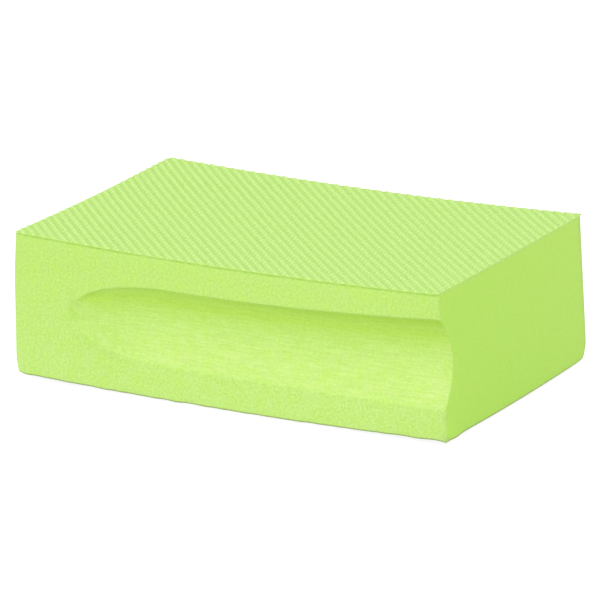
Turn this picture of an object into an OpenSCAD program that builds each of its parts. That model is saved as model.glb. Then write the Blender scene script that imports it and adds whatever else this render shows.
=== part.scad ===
// Hand sanding sponge: one block of closed-cell foam with a finger groove along one side.
// The moulded top skin has pulled the block slightly hollow, so the ends and the long sides
// stand higher than the middle. The origin is the middle of the flat spot that the block
// rests on, with X along the length, Y across the width and Z up. The grooved side faces -Y,
// and the groove opens through the +X end.

/* [Block] */
// Length of the underside, from end to end
block_length = 127; // [110:1:180]
// Width, from the grooved side to the plain side
block_width = 76; // [56:1:110]
// Thickness, from the underside to the top skin
block_height = 38; // [36:0.5:60]

/* [Curl] */
// Rise of the two ends above the middle
length_curl = 1.3; // [0.8:0.1:2.5]
// Rise of the two long sides above the middle
width_curl = 0.6; // [0.4:0.1:1.2]
// Depth of the flat spot pressed into the underside
rest_depth = 0.15; // [0.05:0.05:0.25]

/* [Edges] */
// Radius of the two upright edges on the grooved side
front_corner_radius = 1; // [0.5:0.1:3]
// Radius of the two upright edges on the plain side
back_corner_radius = 2; // [0.5:0.1:3]
// Radius of the lower edge on the grooved side
front_toe_radius = 0.6; // [0.5:0.1:3]
// Radius of the lower edge on the plain side
back_toe_radius = 3; // [0.5:0.1:5]
// Radius of the lower edge of each end
end_toe_radius = 0.8; // [0.5:0.1:3]

/* [Finger groove] */
// Radius of the groove's round section
groove_radius = 14.8; // [12:0.1:18]
// Depth of the groove at its root, where the run-out ends
groove_depth = 3.9; // [2.5:0.1:5]
// Extra depth that the groove gains on its way to the open end
groove_flare = 1.5; // [0.5:0.1:2.5]
// Height of the groove's centre line above the underside, up to the root
groove_height = 19.9; // [17:0.1:21]
// Extra height that the centre line gains on its way to the open end
groove_rise = 0.6; // [0:0.1:1.2]
// Plain length between the closed end and the groove's tip
groove_setback = 17.5; // [8:0.5:30]
// Length over which the groove deepens from its tip to its root
groove_runout = 30; // [20:1:45]

/* [Hidden] */

// Fineness of the rounds, and of the long shallow arcs that they follow
round_fn = 96;
arc_fn = 2048;
// How far a cutting tool passes the face that it opens
past = 1;
// How far a round stands proud of the faces it blends, so that it crosses them cleanly
proud = 0.02;
// How far short of the root the run-out's path stops, inside the tool's ball nose
root_gap = 0.1;

half_length = block_length / 2;
half_width = block_width / 2;

// Radius of the underside along the length and across the width
curl_radius = (pow(half_length, 2) + pow(length_curl, 2)) / (2 * length_curl);
cup_radius = (pow(half_width, 2) + pow(width_curl, 2)) / (2 * width_curl);
// Angles that the block takes up about those two arcs, on each side of the middle
end_angle = asin(half_length / curl_radius);
side_angle = asin((half_width + past) / cup_radius);

// The root is where the run-out's short arc hands over to the long arc of the open stretch
root_along = groove_setback + groove_runout - half_length;
root_angle = asin(root_along / curl_radius);
// Distance from the block's middle plane to the centre line at the root
root_offset = half_width - groove_depth + groove_radius;
// Radius of the run-out's floor, seen from above
runout_radius = (pow(groove_runout, 2) + pow(groove_depth, 2)) / (2 * groove_depth);
runout_angle = asin((groove_runout + past) / runout_radius);
root_gap_angle = asin(root_gap / runout_radius);

// The open stretch bends two ways: inwards by the flare, and upwards with the curl and by the
// groove's own rise. The two bends add up to one arc in a plane that leans between them.
open_length = half_length - root_along;
flare_radius = (pow(open_length, 2) + pow(groove_flare, 2)) / (2 * groove_flare);
curl_lift = pow(open_length, 2) / (2 * (curl_radius - groove_height));
open_lift = curl_lift + groove_rise;
lane_radius = (pow(open_length, 2) + pow(open_lift, 2)) / (2 * open_lift);
open_radius = 1 / sqrt(pow(1 / flare_radius, 2) + pow(1 / lane_radius, 2));
open_lean = atan(flare_radius / lane_radius);
open_angle = asin((open_length + past) / open_radius);

// Moves a shape made at the middle of the block along the curl, by an angle
module along_curl(angle) {
    translate([0, 0, curl_radius])
        rotate([0, -angle, 0])
            translate([0, 0, -curl_radius])
                children();
}

// Places a shape at each end, with its -X side towards the middle
module at_ends() {
    along_curl(end_angle)
        children();
    mirror([1, 0, 0])
        along_curl(end_angle)
            children();
}

// What rounds off a square edge at the drawing's origin, where the solid fills the corner
// towards -X and -Y
module round_off(radius) {
    middle = proud - radius;
    difference() {
        translate([middle, middle])
            square(radius + past);
        translate([middle, middle])
            circle(radius, $fn = round_fn);
    }
}

// What rounds off the lower edge of the section at the side towards +X of the drawing
module section_toe(radius) {
    middle = half_width - radius;
    toe_height = cup_radius - sqrt(pow(cup_radius, 2) - pow(middle, 2));
    translate([half_width, toe_height])
        mirror([0, 1])
            round_off(radius);
}

// Section across the width: plumb sides, a full underside, a hollow top and round toes
module block_section() {
    difference() {
        intersection() {
            translate([0, cup_radius])
                circle(cup_radius, $fn = arc_fn);
            translate([-half_width, -past])
                square([block_width, block_height + width_curl + 2 * past]);
        }
        translate([0, cup_radius])
            circle(cup_radius - block_height, $fn = arc_fn);
        section_toe(back_toe_radius);
        mirror([1, 0])
            section_toe(front_toe_radius);
    }
}

// The section swept along the curl, from one end face to the other
module curled_block() {
    translate([0, 0, curl_radius])
        rotate([-90, 90, 0])
            rotate_extrude(start = -end_angle, angle = 2 * end_angle, $fn = arc_fn)
                translate([curl_radius, 0])
                    rotate(90)
                        block_section();
}

// What is taken off the upright edge of one end, at the plain side
module upright_cut(radius) {
    translate([0, half_width, -past])
        linear_extrude(block_height + width_curl + 2 * past)
            round_off(radius);
}

// What is taken off the lower edge of one end, along the arc of the underside
module end_toe_cut() {
    translate([0, 0, cup_radius])
        rotate([0, 90, 0])
            rotate_extrude(start = -side_angle, angle = 2 * side_angle, $fn = arc_fn)
                translate([cup_radius, 0])
                    round_off(end_toe_radius);
}

// The tool's path from the tip to the root, an arc about an upright axis
module groove_runout_path() {
    translate([0, groove_radius - runout_radius, 0])
        rotate_extrude(start = 90 + root_gap_angle, angle = runout_angle, $fn = arc_fn)
            translate([runout_radius - groove_radius, 0])
                circle(groove_radius, $fn = round_fn);
}

// The tool's path from the root out through the open end
module groove_open_path() {
    rotate([open_lean, 0, 0])
        translate([0, open_radius, 0])
            rotate_extrude(start = -90, angle = open_angle, $fn = arc_fn)
                translate([open_radius, 0])
                    circle(groove_radius, $fn = round_fn);
}

// The whole finger groove. The tool's ball nose stands proud of both paths at the root,
// and joins them.
module finger_groove() {
    along_curl(root_angle)
        translate([0, -root_offset, groove_height]) {
            groove_runout_path();
            sphere(groove_radius + proud, $fn = round_fn);
            groove_open_path();
        }
}

// Everything below the flat spot
module rest_cut() {
    translate([-half_length, -half_width, rest_depth - 2 * past])
        cube([block_length, block_width, 2 * past]);
}

module foam_block() {
    color("#c5ec83")
        translate([0, 0, -rest_depth])
            difference() {
                curled_block();
                at_ends() {
                    upright_cut(back_corner_radius);
                    mirror([0, 1, 0])
                        upright_cut(front_corner_radius);
                    end_toe_cut();
                }
                finger_groove();
                rest_cut();
            }
}

foam_block();
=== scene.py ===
"""Sanding sponge: the looks of one moulded foam block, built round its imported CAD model.

The block is one mesh. Its shape repeats the CAD model's: a block curled along its length and
cupped across its width, with a finger groove in the front side that opens through the right
end. The mesh adds the moulded twill relief of the top, the soft rim of the top skin, the
eased edges of the groove and the small marks that the block carries. Everything is in metres,
with X along the length, Y across the width and Z up.
"""
import math

import bmesh
import bpy
import numpy as np
from mathutils import Matrix, Vector, noise


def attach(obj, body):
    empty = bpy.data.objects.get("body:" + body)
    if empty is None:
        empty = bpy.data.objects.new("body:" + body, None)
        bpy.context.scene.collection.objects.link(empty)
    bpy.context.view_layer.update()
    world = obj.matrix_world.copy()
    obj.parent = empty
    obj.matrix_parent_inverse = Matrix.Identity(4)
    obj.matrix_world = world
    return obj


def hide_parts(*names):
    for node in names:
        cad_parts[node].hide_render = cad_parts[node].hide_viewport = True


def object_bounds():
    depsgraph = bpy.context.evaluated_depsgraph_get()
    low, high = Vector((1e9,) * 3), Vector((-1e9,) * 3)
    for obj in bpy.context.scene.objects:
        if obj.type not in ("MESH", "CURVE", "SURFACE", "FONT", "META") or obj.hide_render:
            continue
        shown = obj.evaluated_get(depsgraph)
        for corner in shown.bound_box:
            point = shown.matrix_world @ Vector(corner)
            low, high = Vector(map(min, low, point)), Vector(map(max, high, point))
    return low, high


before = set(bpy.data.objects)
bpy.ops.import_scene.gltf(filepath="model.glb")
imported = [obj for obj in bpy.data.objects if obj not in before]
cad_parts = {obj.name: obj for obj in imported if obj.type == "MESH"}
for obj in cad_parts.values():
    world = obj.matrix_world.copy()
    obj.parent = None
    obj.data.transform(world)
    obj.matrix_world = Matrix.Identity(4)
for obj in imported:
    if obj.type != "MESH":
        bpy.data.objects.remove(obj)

MM = 0.001
TURN = 2 * math.pi
QUARTER = math.pi / 2
cad_low, cad_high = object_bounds()

# The block, as in the CAD model. Its overall size comes from the imported model's bounds.
LENGTH_CURL = 1.3 * MM
WIDTH_CURL = 0.6 * MM
REST_DEPTH = 0.15 * MM
FRONT_CORNER_RADIUS = 1.0 * MM
BACK_CORNER_RADIUS = 2.0 * MM
FRONT_TOE_RADIUS = 0.6 * MM
BACK_TOE_RADIUS = 3.0 * MM
END_TOE_RADIUS = 0.8 * MM

half_length = cad_high.x
half_width = cad_high.y
thickness = cad_high.z + REST_DEPTH - LENGTH_CURL - WIDTH_CURL
curl_radius = (half_length ** 2 + LENGTH_CURL ** 2) / (2 * LENGTH_CURL)
cup_radius = (half_width ** 2 + WIDTH_CURL ** 2) / (2 * WIDTH_CURL)
half_arc = curl_radius * math.asin(half_length / curl_radius)

# The finger groove, as in the CAD model
GROOVE_RADIUS = 14.8 * MM
GROOVE_DEPTH = 3.9 * MM
GROOVE_FLARE = 1.5 * MM
GROOVE_HEIGHT = 19.9 * MM
GROOVE_RISE = 0.6 * MM
GROOVE_SETBACK = 17.5 * MM
GROOVE_RUNOUT = 30 * MM

groove_root = GROOVE_SETBACK + GROOVE_RUNOUT - half_length
open_length = half_length - groove_root
flare_radius = (open_length ** 2 + GROOVE_FLARE ** 2) / (2 * GROOVE_FLARE)
runout_radius = (GROOVE_RUNOUT ** 2 + GROOVE_DEPTH ** 2) / (2 * GROOVE_DEPTH)

# Half the height over which the groove's greens are spread
GROOVE_REACH = 10 * MM

# How softly the groove's cut edges are eased: along its crisp upper lip, its worn lower one
# and its open mouth. The mouth's round and the groove's colour set in over the fade, as the
# groove gets deeper, and a thin rim at the open end keeps the front side's colour. The cutter
# also left a low step where it entered the foam: its depth, and how it sets in and fades.
UPPER_EASE = 0.12 * MM
LOWER_EASE = 0.7 * MM
MOUTH_EASE = 0.35 * MM
MOUTH_FADE = 1.0 * MM
MOUTH_RIM = 0.6 * MM
STEP_DEPTH = 0.3 * MM
STEP_EASE = 0.15 * MM
STEP_FADE = 2.0 * MM
# Painted shade darkens the foam in the crease of that step, under the upper lip near it and, a
# little, in all of the tip: how dark each is, how far past the tip the crease lies and how wide
# it is, where it fades below and above the middle, where the lip's shade begins above the
# middle, and where that and the tip's fade, from the tip
CREASE_SHARE, LIP_SHARE, TIP_SHARE = 0.6, 0.22, 0.15
CREASE_PLACE, CREASE_WIDTH = 0.5 * MM, 0.7 * MM
CREASE_HEIGHTS = -4.0 * MM, -2.0 * MM, 3.5 * MM, 5.0 * MM
LIP_SHADE = 2.4 * MM, 4.8 * MM
CREASE_FADES = 6.0 * MM, 13.0 * MM
TIP_FADES = 10.0 * MM, 32.0 * MM
# How much more painted shade the tip has in its lower half, between which heights this sets
# in, and where it fades in and out again, from the tip
LOW_TIP_SHARE = 0.16
LOW_TIP_HEIGHTS = -4.0 * MM, -1.0 * MM
LOW_TIP_FADES = 1.5 * MM, 5.0 * MM, 12.0 * MM, 24.0 * MM

# The relief fades out towards the left end and the right back corner
RELIEF_FADE = 2.5 * MM
CORNER_FADE = 4.0 * MM

# The twill relief of the top: ribs that run from the back left to the front right, with a row
# of short raised strokes along each. Starts and lags are in turns of the pattern.
RIB_PITCH_ALONG = 3.1096 * MM
RIB_PITCH_ACROSS = 3.0962 * MM
RIB_START = 0.103
STROKE_PITCH = 1.5976 * MM
STROKE_LEAN = 0.0208
STROKE_START = 0.151
STROKE_LAG = 0.157
STROKE_SHARE = 0.46
RIB_SHARPNESS = 0.1
RELIEF_HEIGHT = 0.09 * MM
# How far the stretched skin shifts the ribs and the strokes, in turns: with the square of the
# place along, with along times across, and with the square of the place across
RIB_STRETCH = 0.187, -0.061, 0.0
STROKE_STRETCH = 0.152, -0.099, -0.228
# Its irregularity: how far it wanders and jitters, in turns, and how much its height varies,
# with the size of each one's lumps and the seed of its noise
WANDER_SIZE, WANDER_TURNS, WANDER_SEED = 34 * MM, 0.05, 1
JITTER_SIZE, JITTER_TURNS, JITTER_SEED = 3.2 * MM, 0.06, 2
SWELL_SIZE, SWELL_SHARE, SWELL_SEED = 6 * MM, 0.25, 3
# How much weaker the ribs are at the right end, and stronger at the left, and how much weaker
# the strokes are at the back, and stronger at the front
RIB_TAPER, STROKE_TAPER = 0.13, 0.3

# The rim of the top skin, ring by ring, outwards and down: how far each stands out from the
# side, how far it lies below the top, and how much of the relief it still carries. Along the
# sides the last ring lies in the fine line at the skin's lower edge. The ends are cut sharp.
SIDE_RINGS = ((-0.02 * MM, 0.05 * MM, 0.9), (0.10 * MM, 0.22 * MM, 0.6), (-0.16 * MM, 0.50 * MM, 0.0))
END_RINGS = ((-0.04 * MM, 0.00 * MM, 1.0), (0.02 * MM, 0.05 * MM, 0.8), (0.00 * MM, 0.14 * MM, 0.0))
# How far inside the sides the rim begins, how far the relief swells it outwards, and how far
# below the top the sides' own rows of points begin
RIM_INSET, RIM_SWELL, SIDE_START = 0.30 * MM, 0.12 * MM, 1.0 * MM

# The cut left end bulges: how far it stands out or in, from its top to its lower edge, and
# the length that the bulge reaches along the sides
BULGE = (-0.28 * MM, -0.10 * MM, 0.12 * MM, 0.20 * MM, 0.18 * MM, 0.10 * MM, 0.02 * MM,
         -0.04 * MM, -0.10 * MM, -0.22 * MM, -0.34 * MM)
BULGE_LENGTH = 14 * MM
# The right end is out of square: how far its back edge stands out and its front edge in, and
# the length over which the sides follow. The middle of its top isn't as hollow as the rest.
SKEW, SKEW_LENGTH = 0.3 * MM, 30 * MM
END_LIFT = 0.4 * MM
# The lower edge sags a little towards the left end, and at the right one
SAG, SAG_LENGTH = 0.3 * MM, 55 * MM
END_SAG = 0.22 * MM

# A burr of skin at the right back corner
BURR_INSET, BURR_REACH, BURR_SIZE = 0.3 * MM, 0.7 * MM, 0.8 * MM
# A torn tag at the foot of the right front corner, a lump beside it, and two worn corners: the
# end and the side that each is at, how far it lies from that side, its size, and how far it
# stands out of the end and hangs down
TAG = 1, -1, 0.0 * MM, 1.4 * MM
LUMPS = (
    (TAG, 0.15 * MM, 0.35 * MM),
    ((1, -1, 4.5 * MM, 3.5 * MM), 0.40 * MM, 0.20 * MM),
    ((-1, -1, 0.0 * MM, 1.6 * MM), -0.60 * MM, -0.45 * MM),
    ((1, 1, 0.0 * MM, 2.6 * MM), -0.90 * MM, -0.60 * MM),
)
# The front side's lower edge is ragged: how far it hangs or rises, in lumps of what size, how
# far from the edge that reaches, the share of it that no longer counts, and its noise's seed
RAG_DROP, RAG_SIZE, RAG_REACH = 0.22 * MM, 3.5 * MM, 1.0 * MM
RAG_LEAST, RAG_SEED = 0.01, 4
# How far apart, in lumps each way, the noise of one seed lies from that of the next
SEED_STEPS = 17.3, 5.9, 3.1

# Cells of the mesh: round each upright corner and lower edge, along the length and across the
# width between them, and down the sides. Each of these cells meets three of the relief's
# along its edge, and the underside's cells are three times as wide.
FINENESS = 3
CORNER_CELLS = 4
STRAIGHT_CELLS = 114
WIDTH_CELLS = 71
UPPER_CELLS = 4
GROOVE_CELLS = 10
LOWER_CELLS = 4
# How far from each of the groove's lips the rows of points beside it run, and how close to
# the groove's middle the lips' own rows may come towards its tip
LIP_ROWS = (0.7 * MM, 0.3 * MM)
NARROWEST_ROWS = 3.5 * MM

length_cells = STRAIGHT_CELLS + 2 * CORNER_CELLS
side_cells = UPPER_CELLS + GROOVE_CELLS + LOWER_CELLS + 4 * len(LIP_ROWS)

# How far the painted shade of the lower edges, where they meet the floor, reaches in under the
# block, at the front and the ends. The back edge is hidden from the camera, and plain.
TOE_SHADE_REACH = 3 * MM

# The foam just below the groove's lower lip is slightly darker: how much, how far below the
# lip, how wide, and where this sets in, from the tip
BELOW_LIP_SHARE = 0.10
BELOW_LIP_PLACE, BELOW_LIP_WIDTH = 0.9 * MM, 1.3 * MM
BELOW_LIP_FADE = 14.0 * MM, 26.0 * MM

# The front side deepens in colour towards the groove's open end: how much at the end, and
# from how far away
END_SHADE, END_SHADE_REACH = 0.17, 20 * MM

# What the material reads at each point of the mesh. Four of them say more than their name:
# "cove" is how far up the groove's section a point lies, raised by the painted shade under the
# upper lip near the tip, "toe" how much painted shade greys the foam at the lower edges
# and the torn tag, "pores" how open the pores are, and "seam" how much darker the
# foam is: the fine line under the skin, painted darker as the shade in its crevice, painted
# shade round the groove's tip, and darker foam below its lower lip and towards its open end.
MARKS = ("relief", "skin", "seam", "groove", "cove", "cut_end", "toe", "pores")

# How open the pores are in the skin, in the groove and in the cut ends, in shares of the
# sides' pores
SKIN_PORES = 0.6
GROOVE_PORES = 0.6
END_PORES = 0.3


def underside(across):
    """Height of the cupped underside above its own middle line."""
    return cup_radius - np.sqrt(cup_radius ** 2 - across ** 2)


def topside(across):
    """Height of the top above the underside's middle line, without its relief."""
    return cup_radius - np.sqrt((cup_radius - thickness) ** 2 - across ** 2)


def curled(along, across, up):
    """Points of the straight block, bent along its length and set down on the flat spot."""
    angle = along / curl_radius
    reach = curl_radius - up
    height = curl_radius - reach * np.cos(angle) - REST_DEPTH
    return np.stack([reach * np.sin(angle), across, np.maximum(height, 0)], axis=-1)


def rounding(distance, radius):
    """How far a round falls away, at a distance from the face that it runs into."""
    left = np.clip(radius - distance, 0, radius)
    return radius - np.sqrt(radius ** 2 - left ** 2)


def toe_height(along, across):
    """Height of the underside with its rounded lower edges."""
    end = rounding(half_arc - np.abs(along), END_TOE_RADIUS)
    front = rounding(half_width + across, FRONT_TOE_RADIUS)
    back = rounding(half_width - across, BACK_TOE_RADIUS)
    return underside(across) + np.maximum(end, np.maximum(front, back))


def groove_middle(along):
    """Height of the groove's centre line above the underside."""
    before_root = np.minimum(along - groove_root, 0)
    past_root = np.maximum(along - groove_root, 0)
    rise = GROOVE_RISE * (past_root / open_length) ** 2
    return GROOVE_HEIGHT + rise - before_root ** 2 / (2 * curl_radius)


def groove_shift(along):
    """How far the groove has flared inwards past its root."""
    past_root = np.maximum(along - groove_root, 0)
    return flare_radius - np.sqrt(flare_radius ** 2 - past_root ** 2)


def groove_floor(along, up):
    """Depth of the groove below the front side. It is negative where there is no groove."""
    before_root = np.minimum(along - groove_root, 0)
    off_middle = np.clip((up - groove_middle(along)) / GROOVE_RADIUS, -1, 1)
    chord = GROOVE_RADIUS * np.sqrt(1 - off_middle ** 2)
    swing = runout_radius - GROOVE_RADIUS + chord
    rise = swing - np.sqrt(swing ** 2 - before_root ** 2)
    return GROOVE_DEPTH - GROOVE_RADIUS + chord + groove_shift(along) - rise


def lip_reach(along):
    """Half the height of the groove's opening in the front side."""
    before_root = np.minimum(along - groove_root, 0)
    swing = np.sqrt((runout_radius - GROOVE_DEPTH) ** 2 + before_root ** 2)
    chord = swing - (runout_radius - GROOVE_RADIUS) - groove_shift(along)
    return np.sqrt(np.maximum(GROOVE_RADIUS ** 2 - chord ** 2, 0))


def past_tip(along):
    """How far past the groove's tip a place along the block lies."""
    return along + half_length - GROOVE_SETBACK


def field(along, across, size, seed):
    """Smooth noise over the plan, between about -1 and 1, with lumps of a given size."""
    shift = Vector([seed * step for step in SEED_STEPS])
    flat = zip((along / size).ravel(), (across / size).ravel())
    values = [noise.noise(Vector((x, y, 0)) + shift) for x, y in flat]
    return np.array(values).reshape(along.shape)


def stretched_skin(along, across, amounts):
    """Turns by which the stretched skin shifts the pattern, more towards its edges."""
    along, across = along / half_length, across / half_width
    ends, corners, sides = amounts
    return ends * along ** 2 + corners * along * across + sides * across ** 2


def relief(along, across):
    """Height of the top's relief, in shares of its usual height."""
    along = along * (curl_radius - thickness) / curl_radius
    wander = WANDER_TURNS * field(along, across, WANDER_SIZE, WANDER_SEED)
    jitter = JITTER_TURNS * field(along, across, JITTER_SIZE, JITTER_SEED)
    swell = 1 + SWELL_SHARE * field(along, across, SWELL_SIZE, SWELL_SEED)
    rib = along / RIB_PITCH_ALONG + across / RIB_PITCH_ACROSS + RIB_START
    rib = rib + stretched_skin(along, across, RIB_STRETCH)
    stroke = (along - STROKE_LEAN * across) / STROKE_PITCH + STROKE_START
    stroke = stroke + stretched_skin(along, across, STROKE_STRETCH)
    rib = TURN * (rib + wander + jitter)
    stroke = TURN * (stroke + wander - jitter)
    strokes = np.cos(rib + stroke) + np.cos(stroke - TURN * STROKE_LAG)
    strokes = strokes * (1 - STROKE_TAPER * across / half_width)
    ribs = np.cos(rib) + RIB_SHARPNESS * np.cos(2 * rib)
    ribs = ribs * (1 - RIB_TAPER * along / half_length)
    fade = np.clip((half_arc + along) / RELIEF_FADE, 0, 1)
    from_corner = np.hypot(along - half_arc, across - half_width)
    fade = fade * (1 - np.exp(-(from_corner / CORNER_FADE) ** 2))
    return fade * swell * (ribs + STROKE_SHARE * strokes)


def corner_rows(fineness):
    """The block's rows of points, from the left end to the right: each one's share of the
    straight, and the way it leans out along and across as it goes round the upright corners."""
    corner = np.linspace(QUARTER, 0, CORNER_CELLS * fineness + 1)[:-1]
    middle = np.linspace(-1, 1, STRAIGHT_CELLS * fineness + 1)
    share = np.concatenate([-np.ones(corner.size), middle, np.ones(corner.size)])
    turn = np.concatenate([corner, np.zeros(middle.size), corner[::-1]])
    return share, np.sign(share) * np.sin(turn), np.cos(turn)


def near_lump(points, end, side, inset, size):
    """How much of a lump on the lower edge of an end each point lies in."""
    along, across, up = np.moveaxis(points, -1, 0)
    beside = across - side * (half_width - inset)
    gap = np.sqrt((along - end * half_arc) ** 2 + beside ** 2 + (up - underside(across)) ** 2)
    return np.exp(-(gap / size) ** 2)


def rag(points):
    """How far the ragged lower edge of the front side lowers each point."""
    along, across, up = np.moveaxis(points, -1, 0)
    gap = np.hypot(across + half_width, up - underside(across))
    near = np.exp(-(gap / RAG_REACH) ** 2)
    drop = np.zeros(gap.shape)
    close = near > RAG_LEAST
    drop[close] = RAG_DROP * field(along[close], 0 * along[close], RAG_SIZE, RAG_SEED)
    return drop * near


def uneven(points):
    """Points as along, across and up, moved by the ends' bulge, skew, lift and sags, by the
    lumps and by the ragged edge."""
    along, across, up = np.moveaxis(points, -1, 0)
    depth = np.clip(1 - up / topside(across), 0, 1)
    bulge = np.interp(depth, np.linspace(0, 1, len(BULGE)), BULGE)
    near_left = np.clip(1 - (half_arc + along) / BULGE_LENGTH, 0, 1) ** 2
    near_right = np.clip(1 - (half_arc - along) / SKEW_LENGTH, 0, 1) ** 2
    shift = SKEW * near_right * across / half_width - bulge * near_left
    lift = END_LIFT * near_right * (1 - (across / half_width) ** 2) * (1 - depth)
    sag = SAG * np.clip(1 - (half_arc + along) / SAG_LENGTH, 0, 1) + END_SAG * near_right
    drop = rag(points) + sag * depth - lift
    for (end, *place), out, down in LUMPS:
        share = near_lump(points, end, *place)
        shift = shift + end * out * share
        drop = drop + down * share
    return np.stack([along + shift, across, up - drop], axis=-1)


def row_ends(fineness, proud, radius):
    """Where each row meets a long side whose upright corners have that radius, as its place
    along and its distance across. The side may stand proud of the block's own."""
    share, lead, spread = corner_rows(fineness)
    along = share * (half_arc - radius) + lead * (radius + proud)
    return along, half_width - radius + spread * (radius + proud)


def round_loop(front, right, back, left):
    """Joins four runs of points into a loop: the front side and the right end in their own
    order, the back side and the left end in reverse."""
    return np.concatenate([front[:-1], right[:-1], back[::-1][:-1], left[::-1][:-1]])


def rim_loop():
    """The loop round the top's rim on the block's own sides, and the outward way from it."""
    _, lead, spread = corner_rows(FINENESS)
    front_along, front = row_ends(FINENESS, 0, FRONT_CORNER_RADIUS)
    back_along, back = row_ends(FINENESS, 0, BACK_CORNER_RADIUS)
    column = np.linspace(-front[0], back[0], WIDTH_CELLS * FINENESS + 1)
    end = np.full(column.size, half_arc)
    one, none = np.ones(column.size), np.zeros(column.size)
    loop = round_loop(
        np.stack([front_along, -front, lead, -spread], axis=-1),
        np.stack([end, column, one, none], axis=-1),
        np.stack([back_along, back, lead, spread], axis=-1),
        np.stack([-end, column, -one, none], axis=-1),
    )
    return loop[:, :2], loop[:, 2:]


def shares(cells):
    """Even steps from nothing to one."""
    return np.linspace(0, 1, cells + 1)


class BlockMesh:
    """The block's mesh while it is built: its points, their marks and its faces."""

    def __init__(self):
        self.points = []
        self.marks = {name: [] for name in MARKS}
        self.faces = []
        self.size = 0

    def add(self, points, **marks):
        """Adds points with the marks that they carry, and gives their numbers."""
        shape = points.shape[:-1]
        count = math.prod(shape)
        self.points.append(points.reshape(count, 3))
        for name, values in self.marks.items():
            mark = np.broadcast_to(marks.get(name, 0.0), shape)
            values.append(mark.reshape(count))
        numbers = np.arange(self.size, self.size + count).reshape(shape)
        self.size += count
        return numbers

    def quads(self, grid):
        """Joins a grid of point numbers into four-sided faces."""
        corners = grid[:-1, :-1], grid[1:, :-1], grid[1:, 1:], grid[:-1, 1:]
        self.faces += np.stack([corner.ravel() for corner in corners], axis=-1).tolist()

    def tube(self, rings):
        """Joins closed rings of as many points each, one inside or below the other."""
        grid = np.stack(rings)
        self.quads(np.concatenate([grid, grid[:, :1]], axis=1))

    def finished(self, name):
        """The finished object, with its faces turned outwards and its marks stored."""
        data = bpy.data.meshes.new(name)
        data.from_pydata(np.concatenate(self.points).tolist(), [], self.faces)
        for mark, values in self.marks.items():
            layer = data.attributes.new(mark, "FLOAT", "POINT")
            layer.data.foreach_set("value", np.concatenate(values).astype(np.float32))
        shell = bmesh.new()
        shell.from_mesh(data)
        bmesh.ops.recalc_face_normals(shell, faces=shell.faces)
        shell.to_mesh(data)
        shell.free()
        data.shade_smooth()
        made = bpy.data.objects.new(name, data)
        bpy.context.scene.collection.objects.link(made)
        return made


def add_relief(mesh):
    """The relief of the top, inside its rim. Gives the loop of points round it."""
    front_along, front = row_ends(FINENESS, -RIM_INSET, FRONT_CORNER_RADIUS)
    back_along, back = row_ends(FINENESS, -RIM_INSET, BACK_CORNER_RADIUS)
    column = shares(WIDTH_CELLS * FINENESS)
    along = front_along[:, None] * (1 - column) + back_along[:, None] * column
    across = back[:, None] * column - front[:, None] * (1 - column)
    height = relief(along, across)
    up = topside(across) + RELIEF_HEIGHT * height
    points = uneven(np.stack([along, across, up], axis=-1))
    marks = {"relief": height, "skin": 1.0, "pores": SKIN_PORES}
    grid = mesh.add(curled(*np.moveaxis(points, -1, 0)), **marks)
    mesh.quads(grid)
    return round_loop(grid[:, 0], grid[-1], grid[:, -1], grid[0])


def burr(along, across):
    """How far the burr of skin stands out at points of the rim."""
    gap = np.hypot(along - half_arc + BURR_INSET, across - half_width + BURR_INSET)
    return BURR_REACH * np.exp(-(gap / BURR_SIZE) ** 2)


def add_rim(mesh, inner):
    """The top skin's soft rim, from the relief down to the sides."""
    outline, out = rim_loop()
    at_side = out[:, 1] ** 2
    rings = [inner]
    for side, end in zip(SIDE_RINGS, END_RINGS):
        proud, drop, share = (
            at_end + (beside - at_end) * at_side for beside, at_end in zip(side, end)
        )
        along, across = (outline + out * proud[:, None]).T
        height = relief(along, across)
        swell = share * (RIM_SWELL * height + burr(along, across))
        # The fine line under the skin, along the sides, is painted darker as the shade in its crevice
        seam = (1 - share) * at_side
        along, across = (outline + out * (proud + swell)[:, None]).T
        up = topside(across) + share * RELIEF_HEIGHT * height - drop
        skin = np.where(share > 0, 1.0, 0.0)
        points = uneven(np.stack([along, across, up], axis=-1))
        marks = {"relief": share * height, "skin": skin, "seam": seam, "pores": SKIN_PORES}
        rings.append(mesh.add(curled(*points.T), **marks))
    mesh.tube(rings)
    return rings[-1]


def front_heights(along, bottom):
    """Heights of the front side's rows of points, which follow the groove's two lips."""
    top = topside(np.full(along.size, half_width)) - SIDE_START
    reach = np.maximum(lip_reach(along), NARROWEST_ROWS)
    far, near = LIP_ROWS
    bend = np.arcsin((reach - far) / GROOVE_RADIUS)
    upper_half = [reach + far, reach + near, reach, reach - near]
    floor = [GROOVE_RADIUS * np.sin(bend * (1 - 2 * share)) for share in shares(GROOVE_CELLS)]
    lower_half = [-offset for offset in reversed(upper_half)]
    rows = [groove_middle(along) + offset for offset in upper_half + floor + lower_half]
    above = [top + (rows[0] - top) * share for share in shares(UPPER_CELLS)[:-1]]
    below = [rows[-1] + (bottom - rows[-1]) * share for share in shares(LOWER_CELLS)[1:]]
    return np.stack(above + rows + below)


def eased_depth(along, up):
    """Depth of the groove with its step and its eased lips. It is nothing far from the groove."""
    floor = groove_floor(along, up)
    lower = np.clip(0.5 - (up - groove_middle(along)) / GROOVE_DEPTH, 0, 1)
    ease = UPPER_EASE + (LOWER_EASE - UPPER_EASE) * lower
    depth = (floor + np.sqrt(floor ** 2 + ease ** 2)) / 2
    entered = np.clip(floor / STEP_EASE, 0, 1)
    return depth + STEP_DEPTH * entered * np.exp(-depth / STEP_FADE)


def lip_shade(along, up):
    """How much each point lies under the upper lip near the groove's tip."""
    above = up - groove_middle(along)
    return np.interp(above, LIP_SHADE, (0, 1)) * np.interp(past_tip(along), CREASE_FADES, (1, 0))


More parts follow.
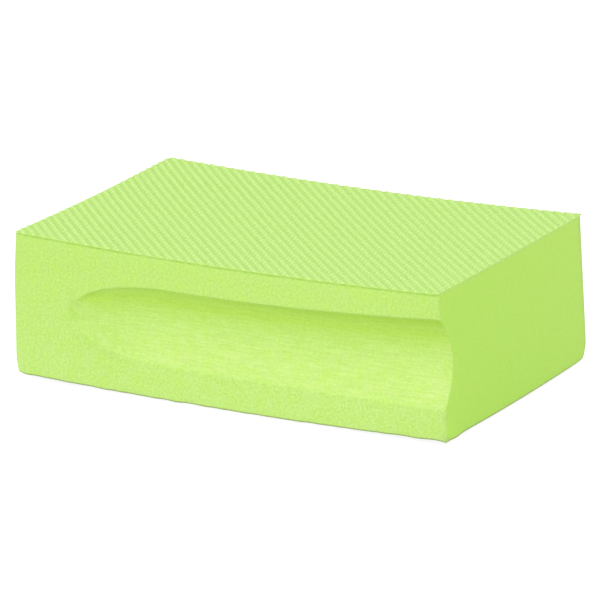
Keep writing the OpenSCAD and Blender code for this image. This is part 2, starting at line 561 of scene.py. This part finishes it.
def crease(along, up, entered):
    """How much painted shade darkens the foam in the crease at the groove's tip and, once entered,
    round it.
    """
    above = up - groove_middle(along)
    from_tip = past_tip(along)
    step = CREASE_SHARE * np.exp(-((from_tip - CREASE_PLACE) / CREASE_WIDTH) ** 2)
    step = step * np.interp(above, CREASE_HEIGHTS, (0, 1, 1, 0))
    tip = TIP_SHARE * np.interp(from_tip, TIP_FADES, (1, 0))
    low = LOW_TIP_SHARE * np.interp(above, LOW_TIP_HEIGHTS, (1, 0))
    tip = tip + low * np.interp(from_tip, LOW_TIP_FADES, (0, 1, 1, 0))
    return np.maximum(step, entered * tip)


def below_lip_dark(along, up):
    """How much darker the foam is just below the groove's lower lip."""
    below = (groove_floor(along, up) + BELOW_LIP_PLACE) / BELOW_LIP_WIDTH
    share = BELOW_LIP_SHARE * np.interp(past_tip(along), BELOW_LIP_FADE, (0, 1))
    return share * np.exp(-below ** 2) * (up < groove_middle(along))


def front_points(along, half, bottom):
    """The front side's points as along, across and up, and how deep each lies in the groove."""
    up = front_heights(along, bottom)
    along = np.broadcast_to(along, up.shape)
    depth = eased_depth(along, up)
    mouth = rounding(half_arc - along, MOUTH_EASE) * np.clip(depth / MOUTH_FADE, 0, 1)
    across = np.maximum(depth + mouth - half_width, -half)
    return np.stack([along, across, up], axis=-1), depth


def back_points(along, half, bottom):
    """The back side's points as along, across and up, in even rows."""
    top = topside(half) - SIDE_START
    up = top + (bottom - top) * shares(side_cells)[:, None]
    along = np.broadcast_to(along, up.shape)
    return np.stack([along, np.broadcast_to(half, up.shape), up], axis=-1)


def column_places(width):
    """Places across the underside, measured from the front: close together on the rounded
    lower edges, and even between them."""
    turn = np.linspace(0, QUARTER, CORNER_CELLS + 1)
    front = FRONT_TOE_RADIUS * (1 - np.cos(turn))
    back = BACK_TOE_RADIUS * (1 - np.cos(turn))
    even = shares(WIDTH_CELLS - 2 * CORNER_CELLS)[1:-1]
    middle = front[-1] + even * (width - front[-1] - back[-1])
    return np.concatenate([front, middle, (width - back)[::-1]])


def height_share(points):
    """How high each point lies between the underside and the top."""
    across, up = points[:, 1], points[:, 2]
    return (up - underside(across)) / (topside(across) - underside(across))


def end_points(front, back):
    """An end face's points, row by row between the front side's last ones and the back's."""
    width = back[-1, 1] - front[-1, 1]
    toe_columns = column_places(width) / width
    settle = shares(side_cells)[:, None] ** 2
    column = shares(WIDTH_CELLS) * (1 - settle) + toe_columns * settle
    across = front[:, 1:2] + (back[:, 1:2] - front[:, 1:2]) * column
    rise = height_share(front)[:, None] * (1 - column) + height_share(back)[:, None] * column
    up = underside(across) + rise * (topside(across) - underside(across))
    along = np.broadcast_to(front[:, :1], across.shape)
    return np.stack([along, across, up], axis=-1)


def front_marks(along, up, depth):
    """How much each point of the front side lies in the groove and how far up the groove it lies,
    both raised by the painted shade under the upper lip near the tip, and how much darker the
    foam is there: painted shade round the tip, and darker below the lower lip and near the open end."""
    entered = np.clip(depth / STEP_EASE, 0, 1)
    lip = entered * lip_shade(along, up)
    groove = np.maximum(np.clip(depth / MOUTH_FADE, 0, 1), lip)
    groove = groove * np.clip((half_arc - along) / MOUTH_RIM, 0, 1)
    cove = 0.5 + 0.5 * (up - groove_middle(along)) / GROOVE_REACH
    # Painted shade under the upper lip near the tip
    cove = np.clip(cove + LIP_SHARE * lip, 0, 1)
    near_end = np.clip(1 - (half_arc - along) / END_SHADE_REACH, 0, 1)
    dark = np.maximum(crease(along, up, entered), END_SHADE * near_end * (1 - groove))
    return groove, cove, np.maximum(dark, below_lip_dark(along, up))


def add_sides(mesh):
    """The four sides, from below the rim to the lower edges. Gives the rings of points."""
    along, half = row_ends(1, 0, FRONT_CORNER_RADIUS)
    front, depth = front_points(along, half, toe_height(along, -half))
    along, half = row_ends(1, 0, BACK_CORNER_RADIUS)
    back = back_points(along, half, toe_height(along, half))
    right = end_points(front[:, -1], back[:, -1])
    left = end_points(front[:, 0], back[:, 0])
    no_side, no_end = np.zeros(length_cells + 1), np.zeros(WIDTH_CELLS + 1)
    all_end = np.ones(WIDTH_CELLS + 1)
    cut_end = round_loop(no_side, all_end, no_side, all_end)
    on_front = np.stack(front_marks(front[..., 0], front[..., 2], depth))
    rings = []
    for row in range(side_cells + 1):
        points = round_loop(front[row], right[row], back[row], left[row])
        groove, cove, seam = (
            round_loop(mark, no_end, no_side, no_end) for mark in on_front[:, row]
        )
        pores = 1 - (1 - GROOVE_PORES) * groove - (1 - END_PORES) * cut_end
        marks = {"groove": groove, "cove": cove, "cut_end": cut_end, "pores": pores}
        # The torn tag is greyed with painted shade
        marks.update(toe=near_lump(points, *TAG) ** 2, seam=seam)
        rings.append(mesh.add(curled(*uneven(points).T), **marks))
    mesh.tube(rings)
    return rings[0], rings[-1]


def join_rim(mesh, rim, ring):
    """Joins the fine ring of the rim to the coarse ring at the top of the sides."""
    for cell in range(ring.size):
        following = (cell + 1) % ring.size
        fine = [rim[(cell * FINENESS + step) % rim.size] for step in range(FINENESS + 1)]
        edge = ring[following], ring[cell], *fine
        mesh.faces.append([int(number) for number in edge])


def underside_points(row, column):
    """The underside's points in rows and columns of its grid, and how much painted shade greys each
    one.
    """
    front_along, front = row_ends(1, 0, FRONT_CORNER_RADIUS)
    back_along, back = row_ends(1, 0, BACK_CORNER_RADIUS)
    reach = np.stack([column_places(width) for width in front + back])[row, column]
    share = reach / (front + back)[row]
    along = front_along[row] * (1 - share) + back_along[row] * share
    across = reach - front[row]
    from_edge = np.minimum(half_arc - np.abs(along), half_width + across)
    # Painted shade greys the lower edges at the front and the ends
    toe = np.exp(-(from_edge / TOE_SHADE_REACH) ** 2)
    return uneven(np.stack([along, across, toe_height(along, across)], axis=-1)), toe


def underside_grid(mesh, ring):
    """Numbers of the underside's points. Between the rounded edges only every third is made."""
    grid = np.full((length_cells + 1, WIDTH_CELLS + 1), -1)
    corner = length_cells, length_cells + WIDTH_CELLS, 2 * length_cells + WIDTH_CELLS
    loop = np.append(ring, ring[0])
    grid[:, 0] = loop[:corner[0] + 1]
    grid[-1] = loop[corner[0]:corner[1] + 1]
    grid[:, -1] = loop[corner[1]:corner[2] + 1][::-1]
    grid[0] = loop[corner[2]:][::-1]
    row, column = np.nonzero(grid < 0)
    inner_row = (row > CORNER_CELLS) & (row < length_cells - CORNER_CELLS)
    inner_column = (column > CORNER_CELLS) & (column < WIDTH_CELLS - CORNER_CELLS)
    third = ((row - CORNER_CELLS) % FINENESS == 0) & ((column - CORNER_CELLS) % FINENESS == 0)
    kept = ~(inner_row & inner_column) | third
    row, column = row[kept], column[kept]
    points, toe = underside_points(row, column)
    grid[row, column] = mesh.add(curled(*points.T), toe=toe, pores=1.0)
    return grid


def add_underside(mesh, ring):
    """The underside with its rounded lower edges, inside the sides' lowest ring."""
    grid = underside_grid(mesh, ring)
    near = CORNER_CELLS
    far_row, far_column = length_cells - near, WIDTH_CELLS - near
    mesh.quads(grid[:near + 1])
    mesh.quads(grid[far_row:])
    mesh.quads(grid[near:far_row + 1, :near + 1])
    mesh.quads(grid[near:far_row + 1, far_column:])
    for row in range(near, far_row, FINENESS):
        for column in range(near, far_column, FINENESS):
            block = grid[row:row + FINENESS + 1, column:column + FINENESS + 1]
            edge = [*block[:-1, 0], *block[-1, :-1], *block[:0:-1, -1], *block[0, :0:-1]]
            mesh.faces.append([int(number) for number in edge if number >= 0])


def foam_block():
    """The whole block as one closed mesh."""
    mesh = BlockMesh()
    rim = add_rim(mesh, add_relief(mesh))
    top_ring, low_ring = add_sides(mesh)
    join_rim(mesh, rim, top_ring)
    add_underside(mesh, low_ring)
    block = mesh.finished("sponge_foam")
    weight = block.modifiers.new("even_shading", "WEIGHTED_NORMAL")
    weight.mode = "FACE_AREA"
    return block


# The sRGB curve: its steps, the end and slope of its straight foot, and its offset and power
SRGB_STEPS = 255
SRGB_FOOT, SRGB_SLOPE = 0.04045, 12.92
SRGB_OFFSET, SRGB_POWER = 0.055, 2.4


def linear(step):
    """The linear value of one step of an sRGB colour."""
    value = step / SRGB_STEPS
    if value <= SRGB_FOOT:
        return value / SRGB_SLOPE
    return ((value + SRGB_OFFSET) / (1 + SRGB_OFFSET)) ** SRGB_POWER


def srgb(red, green, blue):
    """A colour given in steps out of 255, as the linear one that shaders take."""
    return linear(red), linear(green), linear(blue), 1.0


def grey(value):
    """A linear grey."""
    return value, value, value, 1.0


# Greens of the cut sides, from low to high, of the ends, from front to back, and of the
# groove, from its lower lip to its upper one. The groove's greens are painted light, paler,
# near its lower lip and painted shade, darker and more saturated, under its upper one. The
# ends' greens are the cut foam's own deeper green and, in part, painted shade, more saturated.
SIDE_GREENS = (0.1, srgb(210, 243, 144)), (0.9, srgb(201, 238, 130))
END_GREENS = (0.0, srgb(194, 244, 102)), (1.0, srgb(201, 246, 113))
GROOVE_GREENS = (
    (0.00, srgb(212, 238, 146)),
    (0.50, srgb(210, 242, 140)),
    (0.70, srgb(207, 242, 123)),
    (0.80, srgb(202, 240, 103)),
    (0.92, srgb(199, 238, 107)),
    (1.00, srgb(188, 230, 82)),
)
# The skin's greens on the relief's crests and in its valleys: its own tone, with painted light on the
# crests and painted shade in the valleys
CREST_GREEN = srgb(213, 251, 152)
VALLEY_GREEN = srgb(185, 226, 116)
PATCH_GREEN = srgb(202, 242, 108)
PORE_GREEN = srgb(156, 202, 44)
# The grey green of the painted shade at the lower edges and the torn tag
TOE_SHADE_GREEN = srgb(160, 178, 112)
# The darker green of all that "seam" marks: painted shade in the line under the
# skin and round the groove's tip, and the darker foam below the lower lip and near the open end
SEAM_AND_SHADE_GREEN = srgb(170, 216, 86)

# The noise that breaks up the colours, in lumps to the metre: the foam's cells, the cutter's
# lines in the groove (along, across and up), patches of the cut foam, breaks in the dark
# places, and speckle on the skin
GRAIN_DETAIL, GRAIN_ROUGHNESS = 2.0, 0.6
CELL_SCALE, CELL_ROUGHNESS = 1500.0, 0.8
LANE_SCALES = 150.0, 700.0, 2400.0
PATCH_SCALE = 300.0
BREAK_SCALE = 600.0
SPECKLE_SCALE, SPECKLE_DETAIL = 3000.0, 1.0
# The span of each noise that counts, and the shares of a colour that it becomes. The skin's
# speckle becomes heights instead, which are added to those of the relief.
PORE_SPAN, PORE_SHARES = (0.64, 0.34), (0.0, 0.38)
LANE_SPAN, LANE_SHARES = (0.6, 0.4), (0.0, 0.16)
PATCH_SPAN, PATCH_SHARES = (0.4, 0.7), (0.0, 0.5)
BREAK_SPAN, BREAK_SHARES = (0.35, 0.6), (0.4, 1.0)
SPECKLE_SPAN, SPECKLE_HEIGHTS = (0.3, 0.7), (-0.9, 0.9)
# The heights at which the skin is all the valley's green and all the crest's
CREST_SPAN = -1.1, 1.3
# How much of the painted shade's grey the lower edges and the tag take
TOE_SHADE_SHARE = 0.8
# Strength and depth of the bump in the pores and in the cutter's lines
PORE_BUMP, PORE_DEPTH = 0.2, 0.15 * MM
LANE_BUMP, LANE_DEPTH = 0.4, 0.2 * MM
# The foam's shine, and the light that enters it: its share, and how far red, green and blue
# go, in millimetres
ROUGHNESS, SPECULAR = 0.72, 0.4
GLOW_SHARE, GLOW_REACH = 0.12, (1.2, 1.5, 0.6)

# Numbers of the Mix node's sockets for colours
MIX_SHARE, MIX_FIRST, MIX_SECOND, MIX_RESULT = 0, 6, 7, 2


def shader(tree, kind, inputs=None, **settings):
    """Adds a shader node. Its inputs are numbers, colours or other nodes' outputs."""
    made = tree.nodes.new(kind)
    for name, value in settings.items():
        setattr(made, name, value)
    for name, value in (inputs or {}).items():
        if isinstance(value, bpy.types.NodeSocket):
            tree.links.new(value, made.inputs[name])
        else:
            made.inputs[name].default_value = value
    return made


def mark_of(tree, name):
    """What the mesh says at each point under that mark."""
    return shader(tree, "ShaderNodeAttribute", attribute_name=name).outputs["Fac"]


def ranged(tree, value, low, high, to_low=0.0, to_high=1.0):
    """Maps a value from one range to another, and stops at its ends."""
    inputs = {"Value": value, "From Min": low, "From Max": high, "To Min": to_low,
              "To Max": to_high}
    return shader(tree, "ShaderNodeMapRange", inputs).outputs["Result"]


def blended(tree, share, first, second):
    """Mixes two colours."""
    inputs = {MIX_SHARE: share, MIX_FIRST: first, MIX_SECOND: second}
    return shader(tree, "ShaderNodeMix", inputs, data_type="RGBA").outputs[MIX_RESULT]


def product(tree, first, second):
    """Multiplies two values."""
    return shader(tree, "ShaderNodeMath", {0: first, 1: second}, operation="MULTIPLY").outputs[0]


def stretched(tree, place, scale):
    """Texture coordinates scaled by another amount each way."""
    return shader(tree, "ShaderNodeMapping", {"Vector": place, "Scale": scale}).outputs[0]


def grain(tree, place, scale, detail=GRAIN_DETAIL, roughness=GRAIN_ROUGHNESS):
    """Noise with lumps of 1/scale metres."""
    inputs = {"Vector": place, "Scale": scale, "Detail": detail, "Roughness": roughness}
    return shader(tree, "ShaderNodeTexNoise", inputs).outputs["Fac"]


def ramp(tree, value, stops):
    """A colour that follows a value through stops, each a value and its colour."""
    made = shader(tree, "ShaderNodeValToRGB", {"Fac": value})
    band = made.color_ramp.elements
    band[0].position, band[0].color = stops[0]
    band[1].position, band[1].color = stops[-1]
    for position, colour in stops[1:-1]:
        band.new(position).color = colour
    return made.outputs["Color"]


def cut_colour(tree, place):
    """Colour of the cut foam at the sides, the ends and in the groove."""
    split = shader(tree, "ShaderNodeSeparateXYZ", {0: place})
    height = ranged(tree, split.outputs["Z"], 0.0, thickness)
    depth = ranged(tree, split.outputs["Y"], -half_width, half_width)
    side = ramp(tree, height, SIDE_GREENS)
    groove = ramp(tree, mark_of(tree, "cove"), GROOVE_GREENS)
    end = ramp(tree, depth, END_GREENS)
    front = blended(tree, mark_of(tree, "groove"), side, groove)
    return blended(tree, mark_of(tree, "cut_end"), front, end)


def skin_colour(tree, place):
    """Colour of the top skin, paler on the crests of its relief: its own tone, with
    painted light on the crests and painted shade in the valleys.
    """
    speckle = grain(tree, place, SPECKLE_SCALE, SPECKLE_DETAIL)
    rough = ranged(tree, speckle, *SPECKLE_SPAN, *SPECKLE_HEIGHTS)
    height = shader(tree, "ShaderNodeMath", {0: mark_of(tree, "relief"), 1: rough}).outputs[0]
    return blended(tree, ranged(tree, height, *CREST_SPAN), VALLEY_GREEN, CREST_GREEN)


def foam_colour(tree, place, cells, lanes, groove):
    """Colour of the foam, with its patches, pores and cutter's lines, and its painted shade and other
    dark places.
    """
    patch_share = ranged(tree, grain(tree, place, PATCH_SCALE), *PATCH_SPAN, *PATCH_SHARES)
    cut_green = blended(tree, patch_share, cut_colour(tree, place), PATCH_GREEN)
    green = blended(tree, mark_of(tree, "skin"), cut_green, skin_colour(tree, place))
    pore_share = ranged(tree, cells, *PORE_SPAN, *PORE_SHARES)
    green = blended(tree, product(tree, pore_share, mark_of(tree, "pores")), green, PORE_GREEN)
    lane_share = ranged(tree, lanes, *LANE_SPAN, *LANE_SHARES)
    green = blended(tree, product(tree, lane_share, groove), green, PORE_GREEN)
    # Painted shade, and the darker foam below the lower lip and near the open end
    seam_and_shade_share = ranged(tree, grain(tree, place, BREAK_SCALE), *BREAK_SPAN, *BREAK_SHARES)
    green = blended(tree, product(tree, seam_and_shade_share, mark_of(tree, "seam")), green, SEAM_AND_SHADE_GREEN)
    # Painted shade greys the lower edges and the tag
    return blended(tree, product(tree, mark_of(tree, "toe"), TOE_SHADE_SHARE), green, TOE_SHADE_GREEN)


def foam_bump(tree, cells, lanes, groove):
    """The way the foam faces, with its pores and, in the groove, the cutter's lines."""
    pores = shader(tree, "ShaderNodeBump",
                   {"Height": cells, "Strength": PORE_BUMP, "Distance": PORE_DEPTH})
    lines = shader(tree, "ShaderNodeBump",
                   {"Height": product(tree, lanes, groove), "Strength": LANE_BUMP,
                    "Distance": LANE_DEPTH, "Normal": pores.outputs["Normal"]})
    return lines.outputs["Normal"]


def foam_material():
    """Closed-cell foam: moulded skin on the top, cut cells on the sides and in the groove."""
    material = bpy.data.materials.new("green_foam")
    material.use_nodes = True
    tree = material.node_tree
    surface = tree.nodes["Principled BSDF"]
    place = shader(tree, "ShaderNodeTexCoord").outputs["Object"]
    groove = mark_of(tree, "groove")
    cells = grain(tree, place, CELL_SCALE, roughness=CELL_ROUGHNESS)
    lanes = grain(tree, stretched(tree, place, LANE_SCALES), 1.0)
    colour = foam_colour(tree, place, cells, lanes, groove)
    tree.links.new(colour, surface.inputs["Base Color"])
    bump = foam_bump(tree, cells, lanes, groove)
    tree.links.new(bump, surface.inputs["Normal"])
    surface.inputs["Roughness"].default_value = ROUGHNESS
    surface.inputs["Specular IOR Level"].default_value = SPECULAR
    surface.inputs["Subsurface Weight"].default_value = GLOW_SHARE
    surface.inputs["Subsurface Radius"].default_value = GLOW_REACH
    surface.inputs["Subsurface Scale"].default_value = MM
    return material


# The camera, as solved from the block's corners and edges in the photo: its direction from
# the block, its roll and its distance, its lens in millimetres, and how far it is moved aside
# and up, as it looks
CAMERA_AZIMUTH = math.radians(30.505)
CAMERA_ELEVATION = math.radians(17.507)
CAMERA_ROLL = math.radians(-1.455)
CAMERA_DISTANCE = 1.3838
CAMERA_LENS = 322.06
CAMERA_ASIDE = -0.44 * MM
CAMERA_LIFT = 18.15 * MM

# The light: the sky's strength, then how high in degrees, how far away and how wide both lamps
# are, and for each its direction, in degrees from the front to the right, and its watts
SKY_STRENGTH = 0.75
LAMP_ELEVATION, LAMP_DISTANCE, LAMP_SIZE = 45, 1.2, 0.6
KEY_AZIMUTH, KEY_WATTS = 25, 3.95
FILL_AZIMUTH, FILL_WATTS = -45, 2.05

# The floor: its reach each way, its grey where it lights the block, the darker grey that the
# camera sees, and the glow that the camera sees on top of that
FLOOR_HALF = 3.0
FLOOR_GREY, SEEN_GREY, SEEN_GLOW = 0.8, 0.3, 0.9


def toward(azimuth, elevation):
    """The way towards a place seen at an azimuth, from the front to the right, and height."""
    level = math.cos(elevation)
    return Vector((math.sin(azimuth) * level, -math.cos(azimuth) * level, math.sin(elevation)))


def add_camera():
    """A long lens that looks down on the front side and the right end."""
    back = toward(CAMERA_AZIMUTH, CAMERA_ELEVATION)
    level_right = Vector((0, 0, 1)).cross(back).normalized()
    level_up = back.cross(level_right)
    right = level_right * math.cos(CAMERA_ROLL) + level_up * math.sin(CAMERA_ROLL)
    up = back.cross(right)
    data = bpy.data.cameras.new("view")
    data.lens = CAMERA_LENS
    camera = bpy.data.objects.new("view", data)
    place = back * CAMERA_DISTANCE + right * CAMERA_ASIDE + up * CAMERA_LIFT
    place.z -= REST_DEPTH
    camera.matrix_world = Matrix.Translation(place) @ Matrix((right, up, back)).transposed().to_4x4()
    bpy.context.scene.collection.objects.link(camera)
    bpy.context.scene.camera = camera


def add_lamp(name, azimuth, watts):
    """A square soft lamp that faces the block."""
    data = bpy.data.lights.new(name, "AREA")
    data.size = LAMP_SIZE
    data.energy = watts
    lamp = bpy.data.objects.new(name, data)
    way = toward(math.radians(azimuth), math.radians(LAMP_ELEVATION))
    lamp.location = way * LAMP_DISTANCE
    lamp.rotation_euler = way.to_track_quat("Z", "Y").to_euler()
    bpy.context.scene.collection.objects.link(lamp)


def floor_material():
    """Pale floor. To the camera it is nearly white, and still carries the block's shadow."""
    material = bpy.data.materials.new("pale_floor")
    material.use_nodes = True
    tree = material.node_tree
    tree.nodes.clear()
    pale = shader(tree, "ShaderNodeBsdfDiffuse", {"Color": grey(FLOOR_GREY)})
    shadowed = shader(tree, "ShaderNodeBsdfDiffuse", {"Color": grey(SEEN_GREY)})
    white = shader(tree, "ShaderNodeEmission", {"Color": grey(1.0), "Strength": SEEN_GLOW})
    seen = shader(tree, "ShaderNodeAddShader", {0: shadowed.outputs[0], 1: white.outputs[0]})
    camera_ray = shader(tree, "ShaderNodeLightPath").outputs["Is Camera Ray"]
    mixed = shader(tree, "ShaderNodeMixShader",
                   {0: camera_ray, 1: pale.outputs[0], 2: seen.outputs[0]})
    clear = shader(tree, "ShaderNodeBsdfTransparent")
    below = shader(tree, "ShaderNodeNewGeometry").outputs["Backfacing"]
    sided = shader(tree, "ShaderNodeMixShader",
                   {0: below, 1: mixed.outputs[0], 2: clear.outputs[0]})
    shader(tree, "ShaderNodeOutputMaterial", {"Surface": sided.outputs[0]})
    return material


def add_floor():
    """A wide plain floor."""
    near, far = -FLOOR_HALF, FLOOR_HALF
    corners = [(near, near, 0), (far, near, 0), (far, far, 0), (near, far, 0)]
    data = bpy.data.meshes.new("floor")
    data.from_pydata(corners, [], [(0, 1, 2, 3)])
    data.materials.append(floor_material())
    floor = bpy.data.objects.new("floor", data)
    bpy.context.scene.collection.objects.link(floor)


def add_sky():
    """Even white light from all round, which the camera sees as white."""
    world = bpy.data.worlds.new("soft_sky")
    bpy.context.scene.world = world
    world.use_nodes = True
    tree = world.node_tree
    tree.nodes.clear()
    glow = shader(tree, "ShaderNodeBackground", {"Color": grey(1.0), "Strength": SKY_STRENGTH})
    white = shader(tree, "ShaderNodeBackground", {"Color": grey(1.0), "Strength": 1.0})
    camera_ray = shader(tree, "ShaderNodeLightPath").outputs["Is Camera Ray"]
    mixed = shader(tree, "ShaderNodeMixShader",
                   {0: camera_ray, 1: glow.outputs[0], 2: white.outputs[0]})
    shader(tree, "ShaderNodeOutputWorld", {"Surface": mixed.outputs[0]})


block = foam_block()
block.data.materials.append(foam_material())
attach(block, "root")
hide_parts("foam_block")

add_camera()
add_floor()
add_sky()
add_lamp("key", KEY_AZIMUTH, KEY_WATTS)
add_lamp("fill", FILL_AZIMUTH, FILL_WATTS)
bpy.context.scene.view_settings.view_transform = "Standard"
